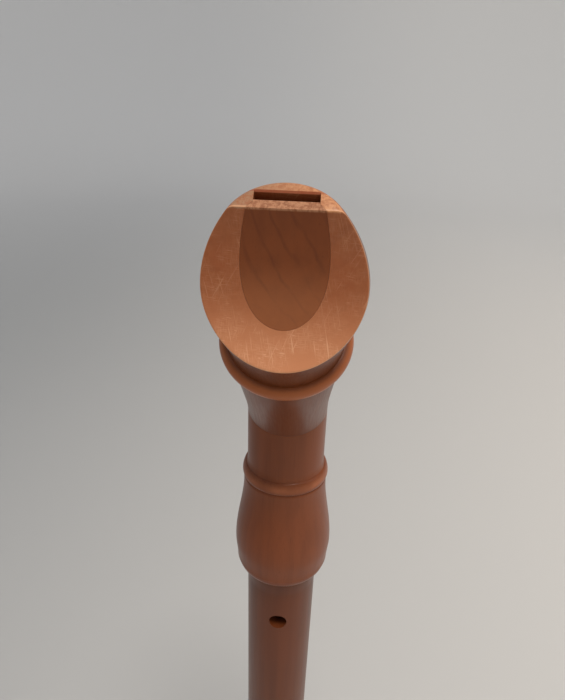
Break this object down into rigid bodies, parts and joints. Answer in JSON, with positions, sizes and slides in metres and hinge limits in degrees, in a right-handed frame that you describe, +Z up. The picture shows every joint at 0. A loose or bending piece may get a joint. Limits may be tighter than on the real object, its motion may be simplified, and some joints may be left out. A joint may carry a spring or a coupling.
{
  "type": "soprano recorder",
  "caption": "Wooden soprano recorder with a bent neck: beaked mouthpiece with a windway block, ringed head, socket bulge, tapered body with finger holes and a belled foot.",
  "frame": {"origin": "on the ground under the middle of the whole object's box; the body axis is parallel to Z, 11.5 mm towards -Y of it", "axes": "+Z up the body axis from foot to head; -Y towards the window and the finger holes; +Y towards the player, where the head leans and the thumb hole is"},
  "size_m": [0.0312, 0.0508, 0.3149],
  "materials": {
    "mouthpiece_wood": "stained fruitwood, waxed, with a bare oiled beak face",
    "block_wood": "darker plain-sawn block with curved growth rings",
    "body_wood": "stained fruitwood, satin wax",
    "cork": "cork lap, greased"
  },
  "bodies": {
    "middle": {"middle_joint": "body_wood", "upper_tenon_lap": "cork", "lower_tenon_lap": "cork"},
    "head": {"head_mouthpiece": "mouthpiece_wood", "head_neck": "body_wood"},
    "block": {"windway_block": "block_wood"},
    "foot": {"foot_joint": "body_wood"}
  },
  "joints": [
    {"name": "head_pull_off", "type": "slide", "parent": "middle", "child": "head", "axis": [0, 0, 1], "range_m": [0, 0.017]},
    {"name": "block_push_out", "type": "slide", "parent": "head", "child": "block", "axis": [0, 0.5635, 0.8261], "range_m": [0, 0.042]},
    {"name": "foot_turn", "type": "hinge", "parent": "middle", "child": "foot", "pos_m": [0, -0.01153, 0.06], "axis": [0, 0, 1], "continuous": true}
  ]
}
